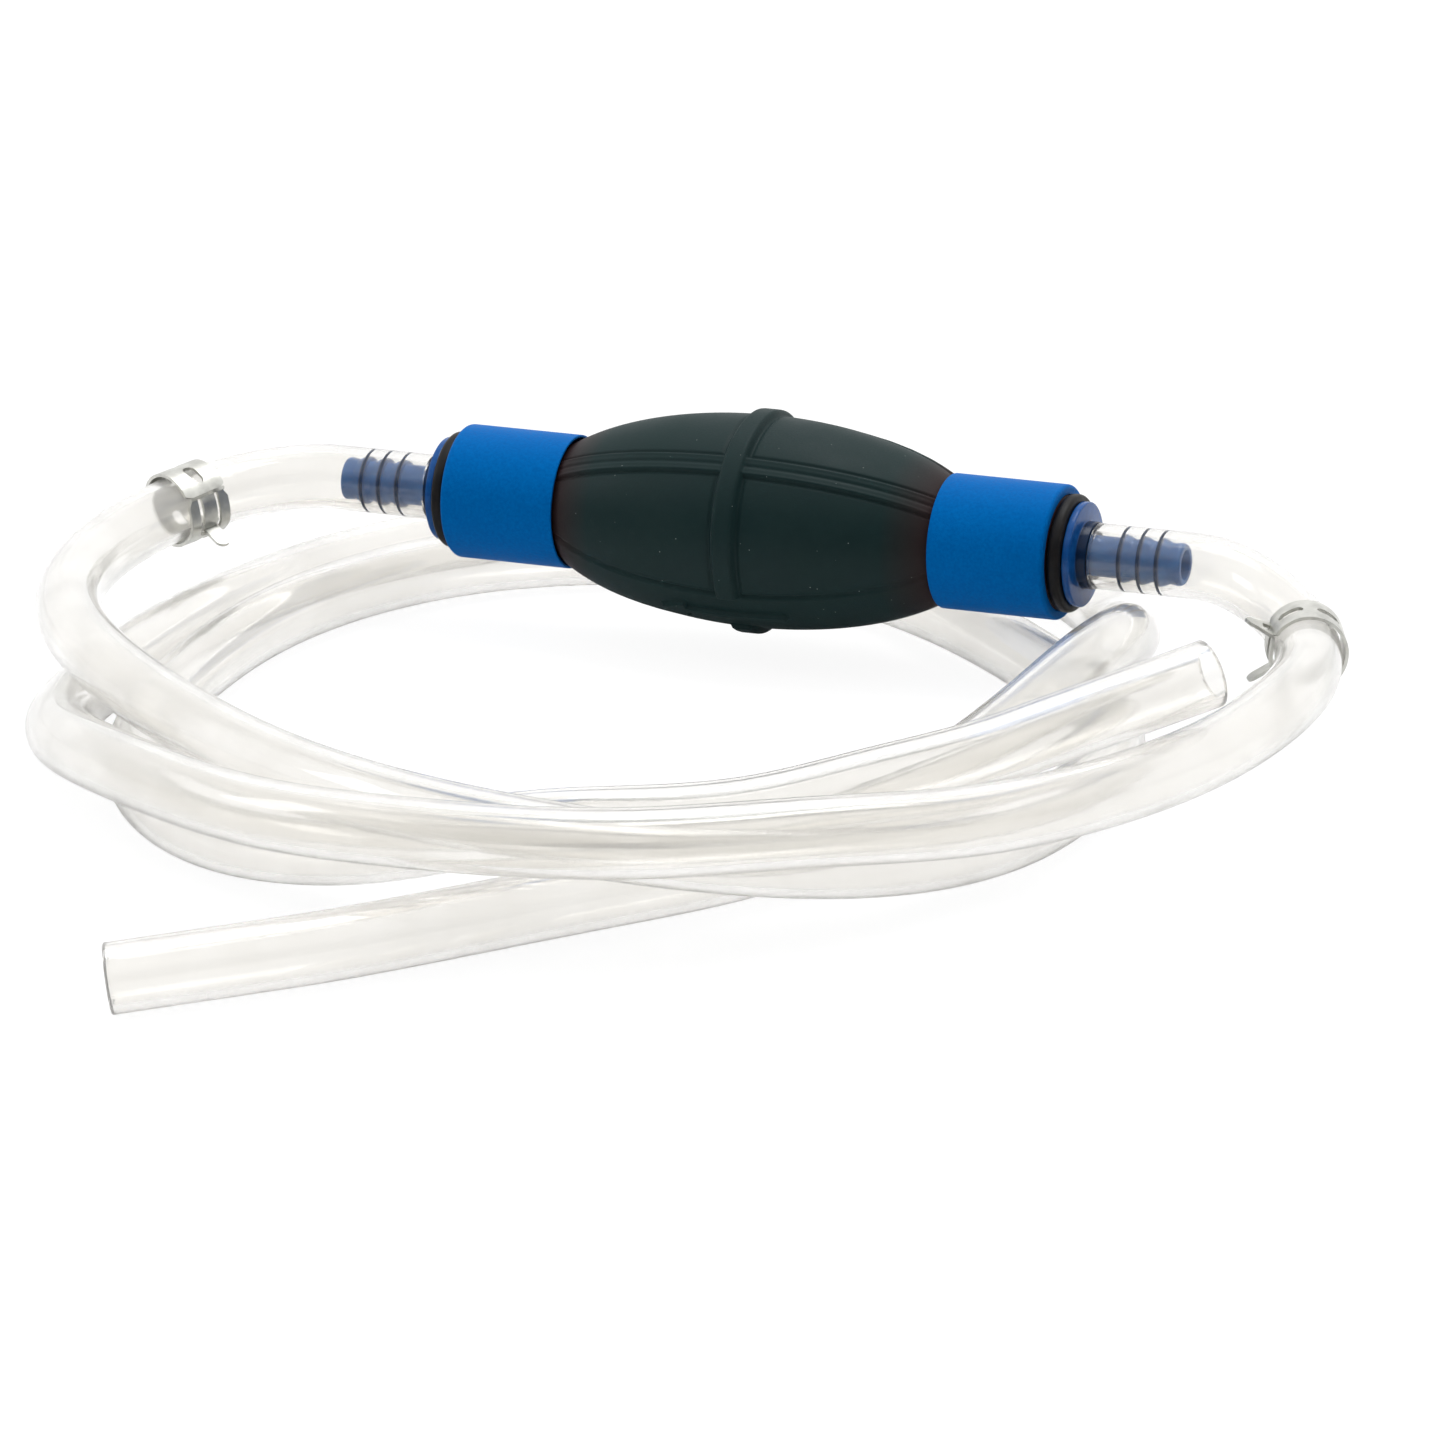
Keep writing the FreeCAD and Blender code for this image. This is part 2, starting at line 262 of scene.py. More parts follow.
def remap(mat, value, low, high, to_low, to_high):
    """Linear map of a value, kept within its new limits."""
    return put(mat, "ShaderNodeMapRange", Value=value, From_Min=low, From_Max=high, To_Min=to_low,
               To_Max=to_high).outputs["Result"]


def bump(mat, height, distance_mm, strength=1.0, normal=None):
    """Bump whose full height is distance_mm."""
    node = put(mat, "ShaderNodeBump", Height=height, Distance=distance_mm * MM, Strength=strength)
    if normal is not None:
        mat.node_tree.links.new(normal, node.inputs["Normal"])
    return node.outputs["Normal"]


def mix(mat, fac, a, b):
    """Colour a where fac is 0, b where it is 1."""
    node = mat.node_tree.nodes.new("ShaderNodeMix")
    node.data_type = "RGBA"
    wire(mat, node.inputs[0], fac)
    wire(mat, node.inputs[6], a if isinstance(a, bpy.types.NodeSocket) else (*a, 1))
    wire(mat, node.inputs[7], b if isinstance(b, bpy.types.NodeSocket) else (*b, 1))
    return node.outputs[2]


def bulb_rubber():
    """Matte black moulded rubber with a fine grain, dust specks, and a red cast close to the collars."""
    mat, shader = new_material("bulb_rubber")
    at = coordinates(mat)
    cloud = noise(mat, at, 14, 4)
    colour = ramp(mat, cloud, ((0.35, (0.002, 0.016, 0.017)), (0.7, (0.004, 0.019, 0.019))))
    cells = put(mat, "ShaderNodeTexVoronoi", Vector=at, Scale=1 / (2.4 * MM))
    near = remap(mat, cells.outputs["Distance"], 0.035, 0.07, 1, 0)
    pick = put(mat, "ShaderNodeSeparateColor", Color=cells.outputs["Color"]).outputs["Red"]
    few = remap(mat, pick, 0.60, 0.62, 0, 1)
    speck = put(mat, "ShaderNodeMath", operation="MULTIPLY")
    wire(mat, speck.inputs[0], near)
    wire(mat, speck.inputs[1], few)
    colour = mix(mat, speck.outputs[0], colour, (0.16, 0.19, 0.18))
    x = put(mat, "ShaderNodeSeparateXYZ", Vector=at).outputs["X"]
    far = put(mat, "ShaderNodeMath", operation="ABSOLUTE")
    wire(mat, far.inputs[0], x)
    red = remap(mat, far.outputs[0], 0.038, 0.050, 0, 0.75)
    colour = mix(mat, red, colour, (0.030, 0.006, 0.006))
    wire(mat, shader.inputs["Base Color"], colour)
    wire(mat, shader.inputs["Roughness"], remap(mat, cloud, 0.3, 0.7, 0.50, 0.62))
    shader.inputs["Specular IOR Level"].default_value = 0.17
    grain = noise(mat, at, 0.45, 2)
    wire(mat, shader.inputs["Normal"], bump(mat, grain, 0.07, 0.7))
    return mat


def ring_rubber():
    """Smooth black rubber of the seal rings, a little scuffed."""
    mat, shader = new_material("ring_rubber")
    at = coordinates(mat)
    scuff = noise(mat, at, 3.0, 5)
    wire(mat, shader.inputs["Base Color"],
         ramp(mat, scuff, ((0.4, (0.006, 0.006, 0.007)), (0.75, (0.014, 0.012, 0.011)))))
    wire(mat, shader.inputs["Roughness"], remap(mat, scuff, 0.3, 0.7, 0.38, 0.55))
    shader.inputs["Specular IOR Level"].default_value = 0.15
    wire(mat, shader.inputs["Normal"], bump(mat, noise(mat, at, 0.5, 2), 0.03, 0.5))
    return mat


def collar_plastic():
    """Satin blue plastic with a fine orange-peel grain."""
    mat, shader = new_material("collar_plastic")
    at = coordinates(mat)
    peel = noise(mat, at, 0.75, 2.5)
    cloud = noise(mat, at, 9, 3)
    colour = ramp(mat, peel, ((0.3, (0.0, 0.100, 0.355)), (0.7, (0.0, 0.130, 0.43))))
    colour = mix(mat, remap(mat, cloud, 0.3, 0.75, 0, 0.25), colour, (0.0, 0.098, 0.36))
    wire(mat, shader.inputs["Base Color"], colour)
    wire(mat, shader.inputs["Roughness"], remap(mat, peel, 0.3, 0.7, 0.46, 0.56))
    shader.inputs["Specular IOR Level"].default_value = 0.05
    shader.inputs["Specular Tint"].default_value = (0.0, 0.45, 1.0, 1)
    wire(mat, shader.inputs["Normal"], bump(mat, peel, 0.09, 0.8))
    return mat


def fitting_plastic():
    """Blue plastic that lets some light through: blue flange, dark hub, paler barb with painted shade
    along its ridge crests.
    """
    mat, shader = new_material("fitting_plastic")
    at = coordinates(mat)
    streak = noise(mat, coordinates(mat, (0.35, 1, 1)), 2.2, 3)
    place = put(mat, "ShaderNodeSeparateXYZ", Vector=at)
    far = put(mat, "ShaderNodeMath", operation="ABSOLUTE")
    wire(mat, far.inputs[0], place.outputs["X"])
    height = put(mat, "ShaderNodeMath", operation="SUBTRACT")
    wire(mat, height.inputs[0], place.outputs["Z"])
    height.inputs[1].default_value = AXIS_Z * MM
    flat = put(mat, "ShaderNodeCombineXYZ", X=place.outputs["Y"], Y=height.outputs[0])
    radius = put(mat, "ShaderNodeVectorMath", operation="LENGTH")
    wire(mat, radius.inputs[0], flat.outputs[0])
    colour = ramp(mat, streak, ((0.3, (0.001, 0.070, 0.28)), (0.75, (0.010, 0.105, 0.37))))
    hub = remap(mat, far.outputs[0], FLANGE_X[1] * MM, (FLANGE_X[1] + 0.3) * MM, 0, 1)
    colour = mix(mat, hub, colour, (0.001, 0.018, 0.062))
    barb = ramp(mat, streak, ((0.3, (0.004, 0.105, 0.37)), (0.75, (0.030, 0.190, 0.54))))
    beyond_hub = remap(mat, far.outputs[0], HUB_END_X * MM, (HUB_END_X + 0.4) * MM, 0, 1)
    colour = mix(mat, beyond_hub, colour, barb)
    # painted shade: the crest of each barb ridge is darkened where it presses against the hose
    ridge = put(mat, "ShaderNodeMath", operation="MULTIPLY")
    crest_shade_mask = remap(mat, radius.outputs["Value"], (RIDGE_R - 0.5) * MM, (RIDGE_R - 0.2) * MM, 0, 1)
    wire(mat, ridge.inputs[0], crest_shade_mask)
    on_barb = remap(mat, far.outputs[0], (HUB_END_X + 3.2) * MM, (HUB_END_X + 3.4) * MM, 0, 1)
    wire(mat, ridge.inputs[1], on_barb)
    colour = mix(mat, ridge.outputs[0], colour, (0.002, 0.028, 0.095))
    wire(mat, shader.inputs["Base Color"], colour)
    wire(mat, shader.inputs["Roughness"], remap(mat, streak, 0.3, 0.7, 0.14, 0.26))
    shader.inputs["Transmission Weight"].default_value = 0.2
    shader.inputs["Specular IOR Level"].default_value = 0.15
    shader.inputs["IOR"].default_value = 1.5
    wire(mat, shader.inputs["Normal"], bump(mat, noise(mat, at, 1.2, 2), 0.02, 0.5))
    return mat


MILKY_AND_GLOW_RUN = (0.024, 0.050)  # metres from a hose's start over which it turns from clear to milky and takes on its painted glow


def hose_plastic():
    """Soft hose, a little milky but clear where it is stretched over its barb, with long streaks, and a
    faint painted glow where it is milky.
    """
    mat, shader = new_material("hose_plastic")
    place = put(mat, "ShaderNodeAttribute", attribute_name="along")
    stretch = put(mat, "ShaderNodeMapping", Vector=place.outputs["Vector"])
    stretch.inputs["Scale"].default_value = (0.012, 1.0, 1.0)
    lines = noise(mat, stretch.outputs["Vector"], 1.6, 3)
    haze = noise(mat, coordinates(mat), 16, 4)
    tint = ramp(mat, haze, ((0.3, (0.968, 0.960, 0.943)), (0.72, (0.938, 0.927, 0.903))))
    wire(mat, shader.inputs["Base Color"], tint)
    wire(mat, shader.inputs["Roughness"], remap(mat, haze, 0.3, 0.7, 0.03, 0.13))
    start = put(mat, "ShaderNodeSeparateXYZ", Vector=place.outputs["Vector"]).outputs["X"]
    wire(mat, shader.inputs["Transmission Weight"], remap(mat, start, *MILKY_AND_GLOW_RUN, 0.985, 0.91))
    shader.inputs["IOR"].default_value = 1.47
    # painted light: the milky part of the hose glows faintly, though it is no lamp
    shader.inputs["Emission Color"].default_value = (1.0, 0.99, 0.96, 1)
    wire(mat, shader.inputs["Emission Strength"], remap(mat, start, *MILKY_AND_GLOW_RUN, 0.0, 0.024))
    wire(mat, shader.inputs["Normal"], bump(mat, lines, 0.05, 0.3))
    return mat


def unseen_cut():
    """Lets light straight through: the inner face where the two lengths of a hose meet."""
    mat = bpy.data.materials.new("unseen_cut")
    mat.use_nodes = True
    nodes = mat.node_tree.nodes
    nodes.clear()
    out, clear_through = nodes.new("ShaderNodeOutputMaterial"), nodes.new("ShaderNodeBsdfTransparent")
    mat.node_tree.links.new(clear_through.outputs["BSDF"], out.inputs["Surface"])
    return mat


def clip_steel():
    """Zinc-plated spring strip, softly brushed and slightly spangled."""
    mat, shader = new_material("clip_steel")
    at = coordinates(mat, (1, 1, 0.25))
    brushed = noise(mat, at, 0.5, 4)
    cloud = noise(mat, coordinates(mat), 4, 3)
    wire(mat, shader.inputs["Base Color"],
         ramp(mat, cloud, ((0.3, (0.46, 0.46, 0.43)), (0.7, (0.66, 0.66, 0.62)))))
    shader.inputs["Metallic"].default_value = 1.0
    wire(mat, shader.inputs["Roughness"], remap(mat, brushed, 0.3, 0.7, 0.28, 0.46))
    wire(mat, shader.inputs["Normal"], bump(mat, brushed, 0.03, 0.5))
    return mat


def spring_wire():
    """Drawn spring wire with fine lines."""
    mat, shader = new_material("spring_wire")
    lines = noise(mat, coordinates(mat, (4, 1, 1)), 0.6, 3)
    wire(mat, shader.inputs["Base Color"],
         ramp(mat, lines, ((0.3, (0.50, 0.50, 0.50)), (0.7, (0.70, 0.70, 0.69)))))
    shader.inputs["Metallic"].default_value = 1.0
    wire(mat, shader.inputs["Roughness"], remap(mat, lines, 0.3, 0.7, 0.2, 0.36))
    return mat


def valve_plastic():
    """Satin off-white moulded plastic of the valve parts."""
    mat, shader = new_material("valve_plastic")
    at = coordinates(mat)
    cloud = noise(mat, at, 3, 3)
    wire(mat, shader.inputs["Base Color"],
         ramp(mat, cloud, ((0.3, (0.72, 0.71, 0.67)), (0.7, (0.82, 0.81, 0.78)))))
    wire(mat, shader.inputs["Roughness"], remap(mat, cloud, 0.3, 0.7, 0.35, 0.5))
    wire(mat, shader.inputs["Normal"], bump(mat, noise(mat, at, 0.4, 2), 0.02, 0.4))
    return mat


CAMERA_GLOW = 0.85  # share of the glow in what the camera sees of the floor
HOSE_GLOW = 0.9  # the same for what is seen through the hoses


def floor_paint():
    """Pale studio floor that glows to the camera and through the hoses, so hardly any shadow shows."""
    mat, shader = new_material("floor_paint")
    cloud = noise(mat, coordinates(mat), 300, 2)
    wire(mat, shader.inputs["Base Color"],
         ramp(mat, cloud, ((0.3, (0.80, 0.80, 0.80)), (0.7, (0.83, 0.83, 0.83)))))
    shader.inputs["Roughness"].default_value = 0.9
    shader.inputs["Specular IOR Level"].default_value = 0.0
    glow = put(mat, "ShaderNodeEmission", Strength=1.08)
    rays = put(mat, "ShaderNodeLightPath")
    direct = put(mat, "ShaderNodeMath", operation="MULTIPLY")
    wire(mat, direct.inputs[0], rays.outputs["Is Camera Ray"])
    direct.inputs[1].default_value = CAMERA_GLOW
    through = put(mat, "ShaderNodeMath", operation="MULTIPLY")
    wire(mat, through.inputs[0], rays.outputs["Is Transmission Ray"])
    through.inputs[1].default_value = HOSE_GLOW
    seen = put(mat, "ShaderNodeMath", operation="MAXIMUM")
    wire(mat, seen.inputs[0], direct.outputs[0])
    wire(mat, seen.inputs[1], through.outputs[0])
    blend = put(mat, "ShaderNodeMixShader", Fac=seen.outputs[0])
    wire(mat, blend.inputs[1], shader.outputs["BSDF"])
    wire(mat, blend.inputs[2], glow.outputs["Emission"])
    out = next(n for n in mat.node_tree.nodes if n.type == "OUTPUT_MATERIAL")
    wire(mat, out.inputs["Surface"], blend.outputs["Shader"])
    return mat


# ---------------------------------------------------------------- squeeze bulb

BULB_HALF_LENGTH = 60.0
BULB_R = 26.0
BULB_WALL = 2.6
NECK_R = 13.9
NECK_BORE_R = 11.05
NECK_END_X = 78.6
RIB_HALF = 2.7
RIB_HEIGHT = 1.5
CREASE_DEPTH = 0.4  # beside the rib and the bands
CREASE_WIDTH = 0.35
# angle about the axis of each raised band, counted from +Y up over the top
NARROW_BANDS = (math.radians(135), math.radians(315))
WIDE_BANDS = (math.radians(45), math.radians(225))
ARROW_BAND = WIDE_BANDS[1]
BANDS_END_X = 49.0
NARROW_HALF = 2.35
NARROW_HEIGHT = 0.55
GROOVE_DEPTH = 0.34  # along the middle of a narrow band
RIM_HEIGHT = 0.16  # along its edges
WIDE_HALF = 6.5
WIDE_HEIGHT = 0.50
ARROW_HEIGHT = 1.05
ARROW_TIP_X = -19.0
ARROW_HEAD_LENGTH = 7.0
ARROW_HEAD_HALF = 2.9
ARROW_SHAFT_X = (-12.0, 14.0)
ARROW_SHAFT_HALF = 0.85


def step_down(distance, half, soft):
    """1 inside half, 0 outside, with a smooth edge soft wide."""
    t = np.clip((half + soft / 2 - np.abs(distance)) / soft, 0, 1)
    return t * t * (3 - 2 * t)


def base_radius(x, half_length, radius, neck):
    """Radius of the plain bulb at x: an ellipse that runs into a neck."""
    inside = np.clip(1 - (x / half_length) ** 2, 0, 1)
    ellipse = radius * np.sqrt(inside)
    soft = 0.6
    return neck + 0.5 * (ellipse - neck + np.sqrt((ellipse - neck) ** 2 + soft**2))


def arrow_height(x, across):
    """Raised flow arrow that points to -X: a shaft and a head."""
    first, last = ARROW_SHAFT_X
    shaft = step_down(x - (first + last) / 2, (last - first) / 2, 0.3)
    shaft = shaft * step_down(across, ARROW_SHAFT_HALF, 0.3)
    reach = np.clip((x - ARROW_TIP_X) / ARROW_HEAD_LENGTH, 0, 1)
    head = step_down(x - ARROW_TIP_X - ARROW_HEAD_LENGTH / 2, ARROW_HEAD_LENGTH / 2, 0.3)
    return np.maximum(shaft, head * step_down(across, ARROW_HEAD_HALF * reach, 0.35))


def ridge_line(distance, width):
    """1 on a line, falling off smoothly over width to both sides."""
    return np.exp(-(distance / width) ** 2)


def bulb_surface(x, angle):
    """Radius of the finished bulb, with its rib, bands and arrow, and a crease along each edge."""
    r = base_radius(x, BULB_HALF_LENGTH, BULB_R, NECK_R)
    fade = step_down(x, BANDS_END_X, 3.0)
    rib = RIB_HEIGHT * step_down(x, RIB_HALF, 1.3)
    crease = ridge_line(np.abs(x) - RIB_HALF - 0.8, CREASE_WIDTH)
    raised = np.zeros_like(r)
    for centre in NARROW_BANDS:
        d = r * np.angle(np.exp(1j * (angle - centre)))
        flat = NARROW_HEIGHT * step_down(d, NARROW_HALF, 0.6)
        groove = -GROOVE_DEPTH * ridge_line(d, 0.42)
        rims = RIM_HEIGHT * ridge_line(np.abs(d) - NARROW_HALF + 0.45, 0.3)
        raised = np.maximum(raised, flat + groove + rims)
        crease = np.maximum(crease, ridge_line(np.abs(d) - NARROW_HALF - 0.55, CREASE_WIDTH))
    for centre in WIDE_BANDS:
        d = r * np.angle(np.exp(1j * (angle - centre)))
        band = WIDE_HEIGHT * step_down(d, WIDE_HALF, 0.7)
        if centre == ARROW_BAND:
            band = band + ARROW_HEIGHT * arrow_height(x, d) * (np.abs(d) < WIDE_HALF - 0.5)
            rib = rib * (1 - step_down(d, WIDE_HALF - 0.2, 0.7))
        raised = np.maximum(raised, band)
        crease = np.maximum(crease, ridge_line(np.abs(d) - WIDE_HALF - 0.6, CREASE_WIDTH))
    top = np.maximum(raised, 0) * fade
    return r + np.maximum(rib, top) - CREASE_DEPTH * fade * crease * (rib < 0.05) * (raised < 0.1)


# how the bulb's skin is divided
NECK_ROWS = 12
BULB_ROWS = 262
INNER_ROWS = 30
COLUMNS = 300
FINE_X = 52.0  # rows are close together up to here
FINE_ANGLE = 0.30  # columns are closer together this far on each side of a band
EXTRA_COLUMNS = [(a, 1.6) for a in NARROW_BANDS] + [(WIDE_BANDS[0], 0.6), (ARROW_BAND, 2.4)]
ANGLE_STEPS = 3600


def column_angles():
    """Angles of the columns round the bulb, closer together where bands and arrow are."""
    fine = np.linspace(0, 2 * math.pi, ANGLE_STEPS + 1)
    weight = np.ones(ANGLE_STEPS)
    for centre, extra in EXTRA_COLUMNS:
        weight += extra * (np.abs(np.angle(np.exp(1j * (fine[:-1] - centre)))) < FINE_ANGLE)
    total = np.concatenate(([0], np.cumsum(weight)))
    return np.interp(np.arange(COLUMNS) / COLUMNS * total[-1], total, fine)


def squeeze_bulb():
    """The rubber bulb with its necks, hollow and open at both ends."""
    neck = np.linspace(FINE_X, NECK_END_X, NECK_ROWS)[1:]
    xs = np.concatenate((-neck[::-1], np.linspace(-FINE_X, FINE_X, BULB_ROWS), neck))
    angles = column_angles()
    x, a = np.meshgrid(xs, angles, indexing="ij")
    r = bulb_surface(x, a)
    inner_x = np.linspace(NECK_END_X, -NECK_END_X, INNER_ROWS)
    inner_r = base_radius(inner_x, BULB_HALF_LENGTH - BULB_WALL, BULB_R - BULB_WALL, NECK_BORE_R)
    ix, ia = np.meshgrid(inner_x, angles, indexing="ij")
    ir = np.repeat(inner_r[:, None], len(angles), axis=1)
    x, a, r = np.vstack((x, ix)), np.vstack((a, ia)), np.vstack((r, ir))
    verts = np.stack((x, r * np.cos(a), AXIS_Z + r * np.sin(a)), -1).reshape(-1, 3)
    obj = add_mesh("bulb_body", verts, ring_faces(len(x), len(angles)), bulb_rubber())
    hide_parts("squeeze_bulb")


# ---------------------------------------------------------------- collars, rings and fittings


# distances along the axis from the bulb's middle, and radii
COLLAR_X = (49.1, 78.7)
COLLAR_R = 16.5
COLLAR_BORE_R = 14.1
MOUTH_R = 15.9
MOUTH_LENGTH = 5.0
RING_X = (78.9, 82.2)
RING_R = 14.4
RING_BORE_R = 11.2
CHAMBER_X = 55.0
CHAMBER_R = 11.0
CHAMBER_BORE_R = 8.6
FLANGE_X = (82.4, 84.2)
FLANGE_R = 12.8
HUB_END_X = 86.8
HUB_R = 8.2
STEM_R = 5.0
RIDGE_X = (94.5, 99.4, 104.1)
RIDGE_R = 6.2
RIDGE_SLOPE = 2.6  # length of a ridge's gentle side
BARB_TIP_X = 110.0
BARB_TIP_R = (5.3, 4.9)  # before and at the very tip
BARB_BORE_R = 3.6
BARB_BORE_X = 80.0


def collar(name, side, material):
    """Blue sleeve with a flared mouth at the bulb and a well-rounded outer end."""
    near, far = COLLAR_X
    outline = [(near, MOUTH_R), (near, COLLAR_R), (far, COLLAR_R), (far, COLLAR_BORE_R),
               (near + MOUTH_LENGTH, COLLAR_BORE_R)]
    obj = lathe(name + "_sleeve", rounded(outline, (0.15, 0.3, 3.6, 0.3, 0.5), 8), side, material, 128)
    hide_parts(name + "_collar")


def seal_ring(name, side, material):
    """Black ring with a round outer edge, peeping out between collar and flange."""
    near, far = RING_X
    outline = [(near, RING_BORE_R), (near, RING_R), (far, RING_R), (far, RING_BORE_R)]
    obj = lathe(name + "_ring", rounded(outline, (0.2, 1.6, 1.6, 0.2), 8), side, material, 96)
    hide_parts(name + "_seal_ring")


def fitting(name, side, material):
    """Valve chamber, flange, hub and barb in one turned piece."""
    outline, radii = [], []

    def add(x, r, corner=0.15):
        outline.append((x, r))
        radii.append(corner)

    add(CHAMBER_X, CHAMBER_BORE_R)
    add(CHAMBER_X, CHAMBER_R, 0.3)
    add(FLANGE_X[0], CHAMBER_R)
    add(FLANGE_X[0], FLANGE_R, 0.35)
    add(FLANGE_X[1], FLANGE_R, 0.35)
    add(FLANGE_X[1], HUB_R, 0.4)
    add(HUB_END_X, HUB_R, 0.25)
    add(HUB_END_X, STEM_R, 0.2)
    for ridge in RIDGE_X:
        add(ridge - 0.5, STEM_R, 0.1)
        add(ridge - 0.3, RIDGE_R, 0.08)
        add(ridge, RIDGE_R, 0.08)
        add(ridge + RIDGE_SLOPE, STEM_R, 0.4)
    add(BARB_TIP_X - 0.8, BARB_TIP_R[0], 0.5)
    add(BARB_TIP_X, BARB_TIP_R[1], 0.3)
    add(BARB_TIP_X, BARB_BORE_R, 0.2)
    add(BARB_BORE_X, BARB_BORE_R)
    add(BARB_BORE_X, CHAMBER_BORE_R)
    obj = lathe(name + "_fitting", rounded(outline, radii, 3), side, material, 96)
    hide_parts(name + "_barb_fitting")


# ---------------------------------------------------------------- hoses


HOSE_SIDES = 56
EDGE = 0.3  # rounding of the cut ends
SLANT_FACES = {"inlet": (-0.904, -0.407, -0.133)}  # way that a slantwise cut end faces
SLANT_RUN = 24.0  # length of hose over which the rings lean into the slant
SPLIT = 30.0  # the end piece starts this far before the straight free end


def hose_path(name):
    """Stations along a hose from its fitting to its free end, and the length from start to each."""
    side, route, way, length = HOSES[name]
    way = np.array(way, float) / np.linalg.norm(way)
    tip = np.array(route[-1], float) + way * length
    start = np.array((side * HOSE_START_X, 0, AXIS_Z))
    path = np.vstack(([start], straight(start + (side * EDGE, 0, 0), route[0], 0.8),
                      spline(route, (side, 0, 0), way, 3.0)[:-1],
                      straight(route[-1], tip - way * EDGE, 3.0), [tip - way * EDGE], [tip]))
    along = np.concatenate(([0], np.cumsum(np.linalg.norm(np.diff(path, axis=0), axis=1))))
    return path, along


def tube_piece(name, path, along, across, up, materials, open_end, facing=None):
    """Hose between two stations; its cut at the open end has the unseen second material.

    The other end is cut square, or slantwise if the way it faces is given.
    """
    angle = 2 * math.pi * np.arange(HOSE_SIDES) / HOSE_SIDES
    turn = np.stack((np.cos(angle), np.sin(angle)), -1)
    ring = across[:, None] * turn[None, :, :1] + up[:, None] * turn[None, :, 1:]
    outer, bore = np.full(len(path), HOSE_R), np.full(len(path), HOSE_BORE_R)
    cut = len(path) - 1 if open_end == 0 else 0
    outer[cut] -= EDGE
    bore[cut] += EDGE
    skins = np.stack((ring * outer[:, None, None], ring * bore[:, None, None]))
    if facing is not None:
        way = (path[-1] - path[-2]) / np.linalg.norm(path[-1] - path[-2])
        lean = np.clip(1 - (along[-1] - along) / SLANT_RUN, 0, 1)
        skins = skins - ((skins @ facing) * lean[:, None])[..., None] * way / np.dot(way, facing)
    skins = skins + path[:, None]
    rows = np.concatenate((skins[0], skins[1][::-1]))
    obj = add_mesh(name, rows.reshape(-1, 3), ring_faces(len(rows), HOSE_SIDES), materials[0], None)
    obj.data.materials.append(materials[1])
    first = (len(rows) - 1 if open_end == 0 else len(path) - 1) * HOSE_SIDES
    for face in range(first, first + HOSE_SIDES):
        obj.data.polygons[face].material_index = 1
    place = np.zeros((len(rows), HOSE_SIDES, 3))
    place[..., 0] = np.concatenate((along, along[::-1]))[:, None]
    place[..., 1:] = turn[None] * HOSE_R
    obj.data.attributes.new("along", "FLOAT_VECTOR", "POINT").data.foreach_set(
        "vector", (place * MM).ravel())
    smooth_by_angle(obj)
    return obj


def hose(name, materials):
    """One clear hose: the coil, fixed to its fitting, and the end piece from a little before the straight
    free end.
    """
    path, along = hose_path(name)
    _, across, up = frames_along(path)
    _, route, way, length = HOSES[name]
    split = int(np.searchsorted(along, along[-1] - length - SPLIT))
    parts = (slice(0, split + 1), slice(split, len(path)))
    coil, end = (tube_piece(name + ending, path[part], along[part], across[part], up[part],
                            materials, open_end, facing)
                 for ending, part, open_end, facing in zip(("_coil", "_free_length"), parts, (-1, 0),
                                                           (None, SLANT_FACES.get(name))))
    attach(coil, ROOT)
    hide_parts(name + "_hose")
    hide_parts(name + "_hose_tail")
    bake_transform(end)


# ---------------------------------------------------------------- valve springs

VALVE_X = 67.5
SPRING_ENDS = (-9.55, 6.95)  # along +X from the valve's middle
SPRING_TURNS = 6
SPRING_COIL_R = 3.6
SPRING_WIRE_R = 0.4
STEPS_PER_TURN = 24
WIRE_SIDES = 12


def valve_spring(name, side, material):
    """Compression spring of a valve, which shortens as the valve lifts towards -X."""
    first, last = (side * VALVE_X + end for end in SPRING_ENDS)
    turn = np.linspace(0, 2 * math.pi * SPRING_TURNS, SPRING_TURNS * STEPS_PER_TURN + 1)
    outward = np.stack((0 * turn, np.sin(turn), np.cos(turn)), -1)
    path = outward * SPRING_COIL_R + (0, 0, AXIS_Z)
    path[:, 0] = np.linspace(first + SPRING_WIRE_R, last - SPRING_WIRE_R, len(turn))
    way = np.gradient(path, axis=0)
    across = np.cross(way / np.linalg.norm(way, axis=1, keepdims=True), outward)
    rows, n = len(path), WIRE_SIDES
    verts = [path[i] + SPRING_WIRE_R * (math.cos(a) * outward[i] + math.sin(a) * across[i])
             for i in range(rows) for a in np.arange(n) * (2 * math.pi / n)]
    faces = [face for face in ring_faces(rows, n) if max(face) - min(face) < 2 * n]
    faces += [tuple(range(n)), tuple(range((rows - 1) * n, rows * n))]
    obj = add_mesh(name + "_spring_wire", verts, faces, material)
    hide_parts(name + "_valve_spring")
    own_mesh(obj)


# ---------------------------------------------------------------- spring band clips

# The clip sits where its hose passes nearest to the first point. Then come whether it faces the
# hose's free end (1) or the bulb (-1), and the side that its ears stand on.
CLIPS = {
    "inlet": ((150, -29, 26), -1, (-0.9, -0.41, -0.06)),
    "outlet": ((-144, -21, 29), 1, (0.895, -0.442, -0.057)),
}
CLIP_R = 9.1
CLIP_THICK = 0.8
CLIP_HALF = 6.0
TONGUE_HALF = 2.0
RAIL_INNER = 3.2
SLOT_HALF = 1.5
ROUND_STEPS = (0.15, 0.4, 0.65, 0.85, 0.97)  # shares of a slot's rounded end
SLOT_RUN = 40.0
SLOT_CENTRES = (68.0, 128.0, 232.0, 292.0)
SEAM = 0.4  # half-width of the strip's middle cell where it has no opening
EAR_ANGLE = 35.0
TONGUE_EAR = 8 - EAR_ANGLE
RAILS_EAR = EAR_ANGLE - 6
